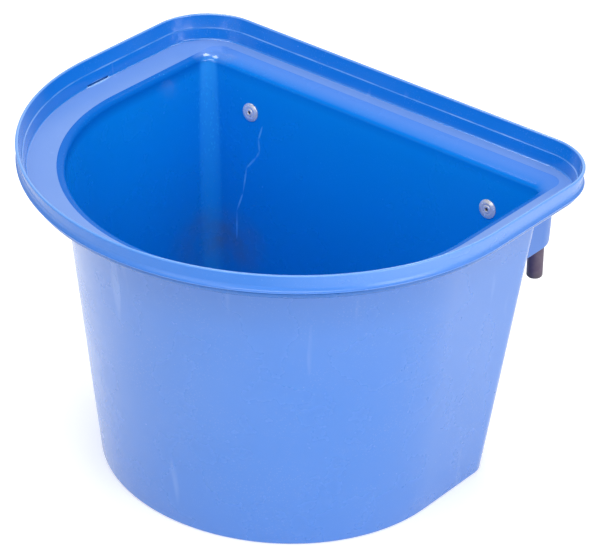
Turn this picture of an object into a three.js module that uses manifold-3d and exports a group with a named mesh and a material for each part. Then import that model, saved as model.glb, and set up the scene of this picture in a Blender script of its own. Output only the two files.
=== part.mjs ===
// Hook-on feeder: a D-shaped moulded tub that hangs on a rail by two hook brackets.
// Millimetres, +Z up. The tub stands on z = 0, its flat back faces +Y and its round front -Y.
// While it is built, y = 0 is the back edge of the rim. The last lines centre the whole feeder.

import * as THREE from "three";
import { mergeVertices } from "three/addons/utils/BufferGeometryUtils.js";
import Module from "manifold-3d";

const wasm = await Module();
wasm.setup();

// Rim, seen from above
const rimWidth = 400;
const rimDepth = 327;
const rimCornerRadius = 49.5;
const rimStraightDepth = 136.5;

// Tub heights and walls
const tubHeight = 266;
const wall = 2.8;
const floorThickness = 3;
const footRise = 2;
const footWidth = 8;
const footEdgeRadius = 2;
const floorRadius = 10;

// Body of the tub, just under the shelf and at the foot, as insets from the rim
const bodyTopDepth = 28;
const bodyTopInset = 33.5;
const bodyTopBackInset = 31;
const bodyTopCornerRadius = 13;
const bodyFootInset = 57.4;
const bodyFootBackInset = 52.8;
const bodyFootFrontInset = 57;
const bodyFootCornerRadius = 19.5;
const bodyStraightDepth = 135;

// Shelf round the mouth, which rises a little towards the raised lip outside it
const shelfDrop = 21.5;
const shelfRise = 1.5;
const shelfThickness = 2.8;
const shelfFillet = 4;
const mouthInset = 29.5;
const mouthBackInset = 15.5;
const mouthCornerRadius = 12;
const mouthRadius = 4.5;
const mouthBackRound = 6;
const lipThickness = 2.6;
const lipEdgeRadius = 1.25;
const lipWaistInset = 2.2;
const lipWaistDrop = 9.5;
const lipBeadDrop = 13.4;
const lipBeadHeight = 0.9;
const lipBeadEdge = 0.3;
const lipUndercutInset = 2.6;
const lipUndercutDrop = 16.4;
const lipRoundWidth = 10.6;
const lipStepInset = 5;
const lipStepDrop = 10.5;
const lipStepWidth = 0.8;
const lipStepHeight = 0.5;
const lipFootInset = 7.3;
const lipFootRadius = 1.5;

// Slit at the foot of the lip on the left
const slitLength = 23;
const slitWidth = 2.2;
const slitFromBack = 118.5;

// Hook brackets, pins and their sleeves
const hookFromSide = 83.2;
const clearance = 0.3;
const armRadius = 27;
const armTaper = 3.1;
const armCentreInsideRim = 0.8;
const armBottomDrop = 97.2;
const armSkin = 3.2;
const armSeatPlate = 3.5;
const armTopSlope = 12;
const armPlate = 3.5;
const armEdgeRadius = 1.2;
const ribThickness = 2.5;
const ribDrop = 6;
const pinRadius = 4;
const pinSideOffset = 10.3;
const pinBehindRim = 15;
const pinHeadRadius = 6;
const pinHeadHeight = 3;
const pinChamfer = 0.8;
const bossWall = 3;
const bossTopDrop = 60;
const sleeveRadius = 6.3;
const sleeveTuck = 3;
const sleeveTipDrop = 133.8;
const sleeveTipWall = 2.5;
const sleeveTipRadius = 1.8;

// Blind rivets and washers
const rivetDrop = 57.1;
const rivetShankRadius = 2.4;
const rivetFlangeRadius = 7.5;
const rivetFlangeHeight = 1.7;
const rivetFlangeEdge = 0.5;
const rivetTailRadius = 3.9;
const rivetTailLength = 6;
const rivetTailTaper = 1;
const mandrelRadius = 1.1;
const mandrelHeadRadius = 2.2;
const mandrelHeadLength = 2;
const mandrelSetBack = 0.6;
const washerRadius = 6.2;
const washerThickness = 1.2;

// Fineness of the round stretches, and the overrun of every cut
const frontSteps = 48;
const cornerSteps = 8;
const sideSteps = 3;
const backSteps = 5;
const edgeSteps = 4;
const waistSteps = 3;
const armSteps = 24;
const roundSides = 28;
const overrun = 5;

const halfTurn = Math.PI;
const quarterTurn = Math.PI / 2;
const mix = (from, to, share) => from + (to - from) * share;
const steps = (count) => Array.from({ length: count + 1 }, (_, index) => index / count);

// A D-shaped outline, anticlockwise from above: right side, right back corner, flat back, left
// back corner, left side and the half-ellipse front. backShare is 1 on the back, 0 on the sides.
const dOutline = ({ half, back, front, corner, straight }) => {
  const points = [];
  const add = (x, y, backShare) => points.push({ x, y, backShare });
  const cornerX = half - corner;
  const cornerY = back - corner;
  for (let i = 0; i < sideSteps; i++) {
    add(half, mix(straight, cornerY, i / sideSteps), 0);
  }
  for (let i = 0; i < cornerSteps; i++) {
    const angle = quarterTurn * i / cornerSteps;
    add(cornerX + corner * Math.cos(angle), cornerY + corner * Math.sin(angle), Math.sin(angle) ** 2);
  }
  for (let i = 0; i < backSteps; i++) {
    add(mix(cornerX, -cornerX, i / backSteps), back, 1);
  }
  for (let i = 0; i < cornerSteps; i++) {
    const angle = quarterTurn * (1 + i / cornerSteps);
    add(-cornerX + corner * Math.cos(angle), cornerY + corner * Math.sin(angle), Math.sin(angle) ** 2);
  }
  for (let i = 0; i < sideSteps; i++) {
    add(-half, mix(cornerY, straight, i / sideSteps), 0);
  }
  for (let i = 0; i < frontSteps; i++) {
    const angle = halfTurn * (1 + i / frontSteps);
    add(half * Math.cos(angle), straight + (straight - front) * Math.sin(angle), 0);
  }
  return points;
};

// The rim's outline moved inwards
const rimOutline = (inset) => dOutline({
  half: rimWidth / 2 - inset,
  back: -inset,
  front: inset - rimDepth,
  corner: rimCornerRadius - inset,
  straight: -rimStraightDepth,
});

// The edge of the mouth, where the shelf starts to turn down
const mouthOutline = () => dOutline({
  half: rimWidth / 2 - mouthInset,
  back: -mouthBackInset,
  front: mouthInset - rimDepth,
  corner: mouthCornerRadius,
  straight: -bodyStraightDepth,
});

// The body's outline at a depth below the lip, with its draft, moved inwards
const bodyOutline = (depth, inset) => {
  const share = (depth - bodyTopDepth) / (tubHeight - bodyTopDepth);
  return dOutline({
    half: rimWidth / 2 - mix(bodyTopInset, bodyFootInset, share) - inset,
    back: -mix(bodyTopBackInset, bodyFootBackInset, share) - inset,
    front: mix(bodyTopInset, bodyFootFrontInset, share) + inset - rimDepth,
    corner: mix(bodyTopCornerRadius, bodyFootCornerRadius, share) - inset,
    straight: -bodyStraightDepth,
  });
};

const ringAt = (outline, depth) => outline.map(({ x, y }) => [x, y, tubHeight - depth]);

// A closed skin through rings of equal count, with a flat fan over its first and last ring
const loft = (rings) => {
  const count = rings[0].length;
  const mean = (ring, axis) => ring.reduce((sum, point) => sum + point[axis], 0) / count;
  const centre = (ring) => [0, 1, 2].map((axis) => mean(ring, axis));
  const positions = [...rings.flat(), centre(rings[0]), centre(rings.at(-1))];
  const first = rings.length * count;
  const last = first + 1;
  const index = [];
  for (let k = 0; k < count; k++) {
    const next = (k + 1) % count;
    for (let r = 0; r + 1 < rings.length; r++) {
      const low = r * count;
      const high = low + count;
      index.push(low + k, low + next, high + next, low + k, high + next, high + k);
    }
    index.push(first, next, k, last, first - count + k, first - count + next);
  }
  const geometry = new THREE.BufferGeometry();
  geometry.setAttribute("position", new THREE.Float32BufferAttribute(positions.flat(), 3));
  geometry.setIndex(index);
  return geometry;
};

// Closed mesh to solid and back, for joins and cuts
const solid = (geometry) => {
  const bare = geometry.clone();
  bare.deleteAttribute("normal");
  bare.deleteAttribute("uv");
  const merged = mergeVertices(bare);
  const vertProperties = new Float32Array(merged.attributes.position.array);
  const triVerts = new Uint32Array(merged.index.array);
  return new wasm.Manifold(new wasm.Mesh({ numProp: 3, vertProperties, triVerts }));
};

const geometryOf = (body) => {
  const mesh = body.getMesh();
  const geometry = new THREE.BufferGeometry();
  geometry.setAttribute("position", new THREE.BufferAttribute(new Float32Array(mesh.vertProperties), 3));
  geometry.setIndex(new THREE.BufferAttribute(new Uint32Array(mesh.triVerts), 1));
  geometry.computeVertexNormals();
  return geometry;
};

const box = (low, high) => {
  const size = high.map((value, axis) => value - low[axis]);
  const geometry = new THREE.BoxGeometry(...size);
  geometry.translate(...low.map((value, axis) => value + size[axis] / 2));
  return geometry;
};

const uprightCylinder = (radius, x, y, low, high) => {
  const geometry = new THREE.CylinderGeometry(radius, radius, high - low, roundSides);
  geometry.rotateX(quarterTurn);
  geometry.translate(x, y, (low + high) / 2);
  return geometry;
};

// Each hook keeps its distance from the rim's side
const hookSpacing = rimWidth - 2 * hookFromSide;

// The back wall and the line square to it, on which each rivet lies
const wallDraft = (bodyFootBackInset - bodyTopBackInset) / (tubHeight - bodyTopDepth);
const wallTilt = Math.atan(wallDraft);
const wallBackAt = (depth) => -bodyTopBackInset - wallDraft * (depth - bodyTopDepth);
const wallAcross = wall * Math.cos(wallTilt);

// A piece modelled along +Z, turned so that its z = 0 plane lies on the wall's outer face at the
// rivet and its +Z points out of the back
const onRivetLine = (object, side) => {
  object.rotation.x = -(quarterTurn + wallTilt);
  object.position.set(side * hookSpacing / 2, wallBackAt(rivetDrop), tubHeight - rivetDrop);
  return object;
};

const rivetBore = (side, radius) => {
  const reach = wall + armPlate + overrun;
  const geometry = new THREE.CylinderGeometry(radius, radius, 2 * reach, roundSides);
  geometry.rotateX(quarterTurn);
  const holder = onRivetLine(new THREE.Object3D(), side);
  holder.updateMatrix();
  return geometry.applyMatrix4(holder.matrix);
};

const lipFootDrop = shelfDrop - shelfRise;

// Tub: one moulding with foot, tapered body, shelf, beaded lip, stepped inner face and basin
const tubRings = () => {
  const rings = [];
  const quarter = steps(edgeSteps).map((share) => quarterTurn * share);
  const lip = (inset, depth) => rings.push(ringAt(rimOutline(inset), depth));
  const body = (depth, inset) => rings.push(ringAt(bodyOutline(depth, inset), depth));

  // Underside: raised floor inside a foot ring, then the foot's round edge
  const footInset = footEdgeRadius + footWidth;
  rings.push(ringAt(bodyOutline(tubHeight, footInset + footRise), tubHeight - footRise));
  rings.push(ringAt(bodyOutline(tubHeight, footInset), tubHeight));
  for (const angle of quarter) {
    const inset = footEdgeRadius * (1 - Math.sin(angle));
    body(tubHeight - footEdgeRadius * (1 - Math.cos(angle)), inset);
  }

  // Up the outer wall and round into the shelf's underside
  const undersideDepth = shelfDrop + shelfThickness;
  for (const angle of quarter) {
    const outwards = shelfFillet * (1 - Math.cos(angle));
    body(undersideDepth + shelfFillet * (1 - Math.sin(angle)), -outwards);
  }

  // Lower edge of the lip: a large round, an undercut and a crisp bead
  const roundHeight = undersideDepth - shelfRise - lipUndercutDrop;
  for (const angle of quarter) {
    const inset = lipUndercutInset + lipRoundWidth * (1 - Math.sin(angle));
    lip(inset, lipUndercutDrop + roundHeight * Math.cos(angle));
  }
  lip(lipBeadEdge, lipBeadDrop + lipBeadHeight);

  // Outer face: hollow from the bead up to the waist, then leaning out to the rounded top
  for (const angle of steps(waistSteps).map((share) => quarterTurn * (1 - share))) {
    lip(lipWaistInset * Math.cos(angle), mix(lipWaistDrop, lipBeadDrop, Math.sin(angle)));
  }
  for (const angle of quarter) {
    lip(lipEdgeRadius * (1 - Math.cos(angle)), lipEdgeRadius * (1 - Math.sin(angle)));
  }
  for (const angle of quarter) {
    lip(lipThickness - lipEdgeRadius * (1 - Math.sin(angle)), lipEdgeRadius * (1 - Math.cos(angle)));
  }

  // Stepped inner face, down to the shelf with a small fillet
  lip(lipStepInset, lipStepDrop);
  lip(lipStepInset + lipStepWidth, lipStepDrop + lipStepHeight);
  for (const angle of quarter) {
    const inset = lipFootInset + lipFootRadius * (1 - Math.cos(angle));
    lip(inset, lipFootDrop - lipFootRadius * (1 - Math.sin(angle)));
  }

  // The shelf's edge turns down into the basin, wider at the back than at the sides and front
  const mouth = mouthOutline();
  for (const angle of quarter) {
    rings.push(mouth.map((point, k) => {
      const drop = mix(mouthRadius, mouthBackRound, point.backShare);
      const foot = bodyOutline(shelfDrop + drop, wall)[k];
      const depth = shelfDrop + drop * (1 - Math.cos(angle));
      const share = Math.sin(angle);
      return [mix(point.x, foot.x, share), mix(point.y, foot.y, share), tubHeight - depth];
    }));
  }

  // Down the inner wall and round into the floor
  const floorDepth = tubHeight - footRise - floorThickness;
  for (const angle of quarter) {
    body(floorDepth - floorRadius * (1 - Math.sin(angle)), wall + floorRadius * (1 - Math.cos(angle)));
  }
  return rings;
};

// A narrow slit through the foot of the lip, on the left side only
const slit = () => {
  const centre = lipFootInset - rimWidth / 2;
  const low = [centre - slitWidth / 2, -slitFromBack - slitLength, tubHeight - shelfDrop - overrun];
  const high = [centre + slitWidth / 2, -slitFromBack, tubHeight - lipFootDrop + lipFootRadius];
  return box(low, high);
};

const tub = () => {
  let body = solid(loft(tubRings())).subtract(solid(slit()));
  for (const side of [-1, 1]) {
    body = body.subtract(solid(rivetBore(side, rivetShankRadius + clearance)));
  }
  return geometryOf(body);
};

// The tub's outer form grown by a gap, as far up as the shelf's underside, to cut what seats on it
const tubEnvelope = (gap, fillet) => {
  const undersideDepth = shelfDrop + shelfThickness + gap;
  const rings = [ringAt(bodyOutline(tubHeight, -gap), tubHeight)];
  rings.push(ringAt(bodyOutline(undersideDepth + fillet, -gap), undersideDepth + fillet));
  for (const share of steps(edgeSteps).slice(1)) {
    const angle = quarterTurn * share;
    const depth = undersideDepth + fillet * (1 - Math.sin(angle));
    rings.push(ringAt(bodyOutline(depth, -gap - fillet * (1 - Math.cos(angle))), depth));
  }
  return loft(rings);
};

// Bracket: a moulded arm with a half-round outer end, tapering down to a closed flat seat. It is
// a pocket, open above, with a back plate on the tub's wall, two ribs and a boss for the pin.
const armRing = (radius, depth) => {
  const into = -bodyFootBackInset;
  const ring = [[radius, into, tubHeight - depth]];
  for (const share of steps(armSteps)) {
    const angle = halfTurn * share;
    ring.push([radius * Math.cos(angle), radius * Math.sin(angle) - armCentreInsideRim, tubHeight - depth]);
  }
  ring.push([-radius, into, tubHeight - depth]);
  return ring;
};

const armTopDrop = shelfDrop + shelfThickness + clearance;
const armRadiusAt = (depth) => armRadius + armTaper * (armBottomDrop - depth) / (armBottomDrop - armTopDrop);

// One tapered skin of the arm, with a round lower edge
const armSkinForm = (inset, bottomDepth, topDepth, edgeRadius) => {
  const rings = steps(edgeSteps).map((share) => {
    const angle = quarterTurn * share;
    const depth = bottomDepth - edgeRadius * (1 - Math.cos(angle));
    return armRing(armRadiusAt(depth) - inset - edgeRadius * (1 - Math.sin(angle)), depth);
  });
  rings.push(armRing(armRadiusAt(topDepth) - inset, topDepth));
  return loft(rings);
};

// All that lies above the arm's sloping top edge
const aboveSlope = (drop) => {
  const reach = armRadius + armTaper + overrun;
  const top = tubHeight - armTopDrop - drop;
  const slopeStart = -lipUndercutInset - shelfThickness;
  const slopeEnd = reach - armCentreInsideRim;
  const profile = new THREE.Shape();
  profile.moveTo(-bodyFootBackInset, top);
  profile.lineTo(slopeStart, top);
  profile.lineTo(slopeEnd, top - armTopSlope);
  profile.lineTo(slopeEnd, tubHeight);
  profile.lineTo(-bodyFootBackInset, tubHeight);
  const geometry = new THREE.ExtrudeGeometry(profile, { depth: 2 * reach, bevelEnabled: false });
  geometry.translate(0, 0, -reach);
  geometry.rotateX(quarterTurn);
  return geometry.rotateZ(quarterTurn);
};

const bracket = (side) => {
  const pinX = side * pinSideOffset;
  const top = tubHeight - armTopDrop;
  const bottom = tubHeight - armBottomDrop;
  const centre = side * hookSpacing / 2;
  const seat = solid(tubEnvelope(clearance, shelfFillet - clearance)).translate([-centre, 0, 0]);
  const plateBack = solid(tubEnvelope(clearance + armPlate, shelfFillet)).translate([-centre, 0, 0]);
  const skin = solid(armSkinForm(0, armBottomDrop, armTopDrop, armEdgeRadius));
  const outer = skin.subtract(seat).subtract(solid(aboveSlope(0)));
  const pocketDepth = armBottomDrop - armSeatPlate;
  const hollow = solid(armSkinForm(armSkin, pocketDepth, armTopDrop - overrun, armEdgeRadius));
  const pocket = hollow.subtract(plateBack);
  const bossTop = tubHeight - bossTopDrop;
  let inside = solid(uprightCylinder(pinRadius + clearance + bossWall, pinX, pinBehindRim, bottom, bossTop));
  for (const place of [-pinSideOffset, pinSideOffset]) {
    const low = [place - ribThickness / 2, -bodyFootBackInset, bottom];
    const high = [place + ribThickness / 2, armRadius - armCentreInsideRim - armSkin / 2, top];
    inside = inside.add(solid(box(low, high)));
  }
  inside = inside.intersect(outer).subtract(solid(aboveSlope(ribDrop)));
  const headRoom = uprightCylinder(pinHeadRadius + clearance, pinX, pinBehindRim, bossTop, top);
  const bore = uprightCylinder(pinRadius + clearance, pinX, pinBehindRim, bottom, top);
  const sleeveTop = bottom + sleeveTuck + clearance;
  const socket = uprightCylinder(sleeveRadius + clearance, pinX, pinBehindRim, bottom - overrun, sleeveTop);
  const rivetHole = solid(rivetBore(side, rivetShankRadius + clearance)).translate([-centre, 0, 0]);
  const moulding = outer.subtract(pocket).add(inside.subtract(solid(headRoom)));
  return geometryOf(moulding.subtract(solid(bore)).subtract(solid(socket)).subtract(rivetHole));
};

// Turned pieces: each profile is a list of [radius, height] in named sizes
const turned = (profile) => {
  const points = profile.map(([radius, height]) => new THREE.Vector2(radius, height));
  return new THREE.LatheGeometry(points, roundSides).rotateX(quarterTurn);
};

const pinBottomDrop = sleeveTipDrop - sleeveTipWall - clearance;

// The pin hangs by its head on the bracket's boss
const hookPin = () => {
  const headFoot = pinBottomDrop - bossTopDrop + clearance;
  const headTop = headFoot + pinHeadHeight;
  return turned([
    [0, 0],
    [pinRadius - pinChamfer, 0],
    [pinRadius, pinChamfer],
    [pinRadius, headFoot],
    [pinHeadRadius, headFoot],
    [pinHeadRadius, headTop - pinChamfer],
    [pinHeadRadius - pinChamfer, headTop],
    [0, headTop],
  ]);
};

// The sleeve is a cap with a closed, rounded tip, tucked into a socket in the bracket's seat
const pinSleeve = () => {
  const length = sleeveTipDrop - armBottomDrop + sleeveTuck;
  const tip = steps(edgeSteps).map((share) => {
    const angle = quarterTurn * share;
    const radius = sleeveRadius - sleeveTipRadius * (1 - Math.sin(angle));
    return [radius, sleeveTipRadius * (1 - Math.cos(angle))];
  });
  return turned([
    [0, 0],
    ...tip,
    [sleeveRadius, length],
    [pinRadius + clearance, length],
    [pinRadius + clearance, sleeveTipWall],
    [0, sleeveTipWall],
  ]);
};

// Rivet body: domed flange inside the tub, shank through both walls, and the swollen tail
const flangeFace = -wallAcross - clearance;
const washerFace = clearance + armPlate * Math.cos(wallTilt) + clearance;
const tailFace = washerFace + washerThickness + clearance;

const rivet = () => {
  const bore = mandrelRadius + clearance;
  const dome = steps(edgeSteps).map((share) => {
    const angle = quarterTurn * share;
    const radius = mix(rivetFlangeRadius, bore, Math.sin(angle));
    const height = flangeFace - mix(rivetFlangeHeight, rivetFlangeEdge, Math.cos(angle));
    return [radius, height];
  });
  return turned([
    ...dome.reverse(),
    [rivetFlangeRadius, flangeFace],
    [rivetShankRadius, flangeFace],
    [rivetShankRadius, tailFace],
    [rivetTailRadius, tailFace + rivetTailTaper],
    [rivetTailRadius, tailFace + rivetTailLength - rivetTailTaper],
    [rivetShankRadius, tailFace + rivetTailLength],
    [bore, tailFace + rivetTailLength],
    [bore, flangeFace - rivetFlangeHeight],
  ]);
};

const mandrel = () => {
  const start = flangeFace - rivetFlangeHeight + mandrelSetBack;
  const headStart = tailFace + rivetTailLength + clearance;
  return turned([
    [0, start],
    [mandrelRadius, start],
    [mandrelRadius, headStart],
    [mandrelHeadRadius, headStart],
    [mandrelHeadRadius, headStart + mandrelHeadLength / 2],
    [mandrelRadius, headStart + mandrelHeadLength],
    [0, headStart + mandrelHeadLength],
  ]);
};

const washer = () => turned([
  [rivetShankRadius + clearance, washerFace],
  [washerRadius, washerFace],
  [washerRadius, washerFace + washerThickness],
  [rivetShankRadius + clearance, washerFace + washerThickness],
  [rivetShankRadius + clearance, washerFace],
]);

// Materials
const tubBlue = new THREE.MeshStandardMaterial({ color: 0x1f6fd8, roughness: 0.42, metalness: 0 });
const bracketBlue = new THREE.MeshStandardMaterial({ color: 0x2b74d6, roughness: 0.5, metalness: 0 });
const pinSteel = new THREE.MeshStandardMaterial({ color: 0x8d9093, roughness: 0.45, metalness: 1 });
const sleeveRubber = new THREE.MeshStandardMaterial({ color: 0x3a3440, roughness: 0.75, metalness: 0 });
const rivetAluminium = new THREE.MeshStandardMaterial({ color: 0xc4c6c8, roughness: 0.35, metalness: 1 });
const mandrelSteel = new THREE.MeshStandardMaterial({ color: 0x4a4742, roughness: 0.6, metalness: 1 });
const washerZinc = new THREE.MeshStandardMaterial({ color: 0xa9abad, roughness: 0.4, metalness: 1 });

const piece = (name, geometry, material) => {
  const mesh = new THREE.Mesh(geometry, material);
  mesh.name = name;
  return mesh;
};

const feeder = new THREE.Group();
feeder.add(piece("tub", tub(), tubBlue));

for (const [label, side] of [["left", -1], ["right", 1]]) {
  const hook = new THREE.Group();
  hook.position.x = side * hookSpacing / 2;
  const pin = piece(`hook_pin_${label}`, hookPin(), pinSteel);
  pin.position.set(side * pinSideOffset, pinBehindRim, tubHeight - pinBottomDrop);
  const sleeve = piece(`pin_sleeve_${label}`, pinSleeve(), sleeveRubber);
  sleeve.position.set(side * pinSideOffset, pinBehindRim, tubHeight - sleeveTipDrop);
  hook.add(piece(`hook_bracket_${label}`, bracket(side), bracketBlue), pin, sleeve);
  feeder.add(hook);
  feeder.add(onRivetLine(piece(`rivet_${label}`, rivet(), rivetAluminium), side));
  feeder.add(onRivetLine(piece(`rivet_mandrel_${label}`, mandrel(), mandrelSteel), side));
  feeder.add(onRivetLine(piece(`backing_washer_${label}`, washer(), washerZinc), side));
}

// The origin is under the middle of the whole feeder, at its base
const middle = new THREE.Box3().setFromObject(feeder).getCenter(new THREE.Vector3());
feeder.position.y = -middle.y;

export default feeder;
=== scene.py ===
import math

import bmesh
import bpy
from mathutils import Matrix, Vector


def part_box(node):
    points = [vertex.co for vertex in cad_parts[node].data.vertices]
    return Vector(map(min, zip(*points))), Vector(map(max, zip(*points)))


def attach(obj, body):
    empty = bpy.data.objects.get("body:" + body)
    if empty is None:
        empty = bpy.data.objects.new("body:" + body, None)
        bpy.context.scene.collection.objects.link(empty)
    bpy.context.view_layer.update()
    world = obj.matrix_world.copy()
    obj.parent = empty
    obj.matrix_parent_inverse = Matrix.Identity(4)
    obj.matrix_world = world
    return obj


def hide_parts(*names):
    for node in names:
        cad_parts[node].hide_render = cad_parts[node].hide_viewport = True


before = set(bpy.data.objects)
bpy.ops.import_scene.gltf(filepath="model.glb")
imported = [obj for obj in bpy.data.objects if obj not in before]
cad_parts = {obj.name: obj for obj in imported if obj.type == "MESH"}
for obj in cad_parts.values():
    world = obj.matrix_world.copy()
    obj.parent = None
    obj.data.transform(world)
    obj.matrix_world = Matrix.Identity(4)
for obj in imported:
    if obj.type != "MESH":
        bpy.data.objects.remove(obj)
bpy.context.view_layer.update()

# Hook-on feeder. Lengths are written in millimetres and turned into metres by MM.
MM = 0.001
QUARTER = math.pi / 2
HALF = math.pi

tub_low, tub_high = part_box("tub")
LIP_TOP = tub_high.z
RIM_BACK = tub_high.y
RIM_HALF = tub_high.x
RIM_DEPTH = tub_high.y - tub_low.y

# Camera, found from the photograph's outlines: it looks at a point given from the rim's back edge
CAMERA_AZIMUTH = math.radians(39.70)
CAMERA_ELEVATION = math.radians(30.95)
CAMERA_ROLL = math.radians(0.78)
CAMERA_DISTANCE = 2154.4 * MM
CAMERA_LENS = 176.46
LOOK_RIGHT = 46.97 * MM
LOOK_FROM_BACK = 170 * MM
LOOK_BELOW_LIP = 84.64 * MM

# Rim and body of the tub
RIM_CORNER = 49.5 * MM
RIM_STRAIGHT = 136.5 * MM
BODY_STRAIGHT = 135 * MM
WALL = 2.8 * MM
BODY_TOP_DEPTH = 28 * MM
BODY_TOP = {"side": 33.5 * MM, "back": 31 * MM, "front": 33.5 * MM, "corner": 13 * MM}
BODY_FOOT = {"side": 57.4 * MM, "back": 52.8 * MM, "front": 57 * MM, "corner": 19.5 * MM}
MOUTH = {"side": 29.5 * MM, "back": 15.5 * MM, "front": 29.5 * MM, "corner": 12 * MM}
MOUTH_ROUND = 4.5 * MM
MOUTH_BACK_ROUND = 6 * MM
SHELF_DROP = 21.5 * MM
SHELF_RISE = 1.5 * MM
SHELF_THICKNESS = 2.8 * MM
SHELF_FILLET = 4 * MM
FOOT_EDGE = 2 * MM
FOOT_WIDTH = 8 * MM
FOOT_RISE = 2 * MM
FLOOR_THICKNESS = 3 * MM
FLOOR_RADIUS = 10 * MM

# Lip: insets from the rim's outline and drops below its top
LIP_THICKNESS = 2.6 * MM
LIP_EDGE = 1.25 * MM
LIP_WAIST = 2.2 * MM
LIP_WAIST_DROP = 9.5 * MM
LIP_BEAD_DROP = 13.4 * MM
LIP_BEAD_HEIGHT = 0.9 * MM
LIP_BEAD_EDGE = 0.3 * MM
LIP_BEAD_BULGE = 0.2
LIP_UNDERCUT = 2.6 * MM
LIP_UNDERCUT_DROP = 16.4 * MM
LIP_ROUND_WIDTH = 10.6 * MM
LIP_CREASE = 0.7 * MM
LIP_STEP_INSET = 5 * MM
LIP_STEP_DROP = 10.5 * MM
LIP_STEP_WIDTH = 0.8 * MM
LIP_STEP_HEIGHT = 0.5 * MM
LIP_FOOT_INSET = 7.3 * MM
LIP_FOOT_ROUND = 1.5 * MM
LIP_FOOT_DROP = SHELF_DROP - SHELF_RISE
UNDERSIDE = SHELF_DROP + SHELF_THICKNESS

# Slit
SLIT_LENGTH = 23 * MM
SLIT_WIDTH = 1.2 * MM
SLIT_FROM_BACK = 118.5 * MM

# Hook brackets, pins and sleeves
CLEARANCE = 0.3 * MM
OVERRUN = 5 * MM
HOOK_X = RIM_HALF - 83.2 * MM
ARM_RADIUS = 27 * MM
ARM_TAPER = 3.1 * MM
ARM_CENTRE_Y = RIM_BACK - 0.8 * MM
ARM_BOTTOM_DROP = 97.2 * MM
ARM_TOP_DROP = UNDERSIDE + CLEARANCE
ARM_SKIN = 3.2 * MM
ARM_SEAT_PLATE = 3.5 * MM
ARM_TOP_SLOPE = 12 * MM
ARM_PLATE = 3.5 * MM
ARM_EDGE = 1.2 * MM
RIB_THICKNESS = 2.5 * MM
RIB_DROP = 6 * MM
PIN_RADIUS = 4 * MM
PIN_SIDE = 10.3 * MM
PIN_Y = RIM_BACK + 15 * MM
PIN_HEAD_RADIUS = 6 * MM
PIN_HEAD_HEIGHT = 3 * MM
PIN_CHAMFER = 0.8 * MM
BOSS_WALL = 3 * MM
BOSS_TOP_DROP = 60 * MM
SLEEVE_RADIUS = 6.3 * MM
SLEEVE_TUCK = 3 * MM
SLEEVE_TIP_DROP = 133.8 * MM
SLEEVE_TIP_WALL = 2.5 * MM
SLEEVE_TIP_ROUND = 1.8 * MM

# Blind rivets and washers
RIVET_DROP = 57.1 * MM
SHANK_RADIUS = 2.4 * MM
FLANGE_RADIUS = 7.5 * MM
FLANGE_HEIGHT = 1.7 * MM
FLANGE_EDGE = 0.5 * MM
TAIL_RADIUS = 3.9 * MM
TAIL_LENGTH = 6 * MM
TAIL_TAPER = 1 * MM
MANDREL_RADIUS = 1.1 * MM
MANDREL_HEAD_RADIUS = 2.2 * MM
MANDREL_HEAD_LENGTH = 2 * MM
MANDREL_SET_BACK = 0.6 * MM
WASHER_RADIUS = 6.2 * MM
WASHER_THICKNESS = 1.2 * MM

# The rivet's collar round the mandrel, the crown of its flange, its tail, and fine edges
COLLAR_MOUTH_SHARE = 0.8
COLLAR_WIDTH = 1.3 * MM
COLLAR_FOOT = 2 * MM
COLLAR_FOOT_SHARE = 0.72
CROWN_INSET = 2.6 * MM
CROWN_SHARE = 0.85
CROWN_ROUND = 1.2 * MM
TAIL_ROUND = 0.6 * MM
TAIL_END_ROUND = 0.8 * MM
MANDREL_HOLLOW = 0.25 * MM
MANDREL_HOLLOW_SHARE = 0.6
HAIR_EDGE = 0.1 * MM
FINE_EDGE = 0.2 * MM
SMALL_EDGE = 0.3 * MM
PLAIN_EDGE = 0.4 * MM
BROAD_EDGE = 0.5 * MM

# How many steps the outlines, roundings and turned pieces have
SIDE_STEPS = 10
CORNER_STEPS = 24
BACK_STEPS = 24
FRONT_STEPS = 160
WALL_STEPS = 12
MOUTH_STEPS = 12
ROUND_STEPS = 8
EDGE_STEPS = 6
PROFILE_STEPS = 5
ARM_STEPS = 72
BORE_SIDES = 64
TURNED_SIDES = 96
SHARP_ANGLE = math.radians(32)


# Shapes

def mix(low, high, share):
    return low + (high - low) * share


def shares(count):
    """The shares 0 to 1 in equal steps."""
    return [i / count for i in range(count + 1)]


def d_outline(half, back, front, corner, straight):
    """A D-shaped outline as (x, y, share of the back), anticlockwise from above."""
    points = []
    corner_x = half - corner
    corner_y = back - corner
    for share in shares(SIDE_STEPS)[:-1]:
        points.append((half, mix(straight, corner_y, share), 0))
    for share in shares(CORNER_STEPS)[:-1]:
        turn, side = math.sin(QUARTER * share), math.cos(QUARTER * share)
        points.append((corner_x + corner * side, corner_y + corner * turn, turn ** 2))
    for share in shares(BACK_STEPS)[:-1]:
        points.append((mix(corner_x, -corner_x, share), back, 1))
    for share in shares(CORNER_STEPS)[:-1]:
        turn, side = math.sin(QUARTER * share), math.cos(QUARTER * share)
        points.append((-corner_x - corner * turn, corner_y + corner * side, side ** 2))
    for share in shares(SIDE_STEPS)[:-1]:
        points.append((-half, mix(corner_y, straight, share), 0))
    for share in shares(FRONT_STEPS)[:-1]:
        angle = HALF * (1 + share)
        bow = (straight - front) * math.sin(angle)
        points.append((half * math.cos(angle), straight + bow, 0))
    return points


def rim_outline(inset):
    return d_outline(RIM_HALF - inset, RIM_BACK - inset, RIM_BACK - RIM_DEPTH + inset,
                     RIM_CORNER - inset, RIM_BACK - RIM_STRAIGHT)


def section(insets, inset=0):
    return d_outline(RIM_HALF - insets["side"] - inset, RIM_BACK - insets["back"] - inset,
                     RIM_BACK - RIM_DEPTH + insets["front"] + inset, insets["corner"] - inset,
                     RIM_BACK - BODY_STRAIGHT)


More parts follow.
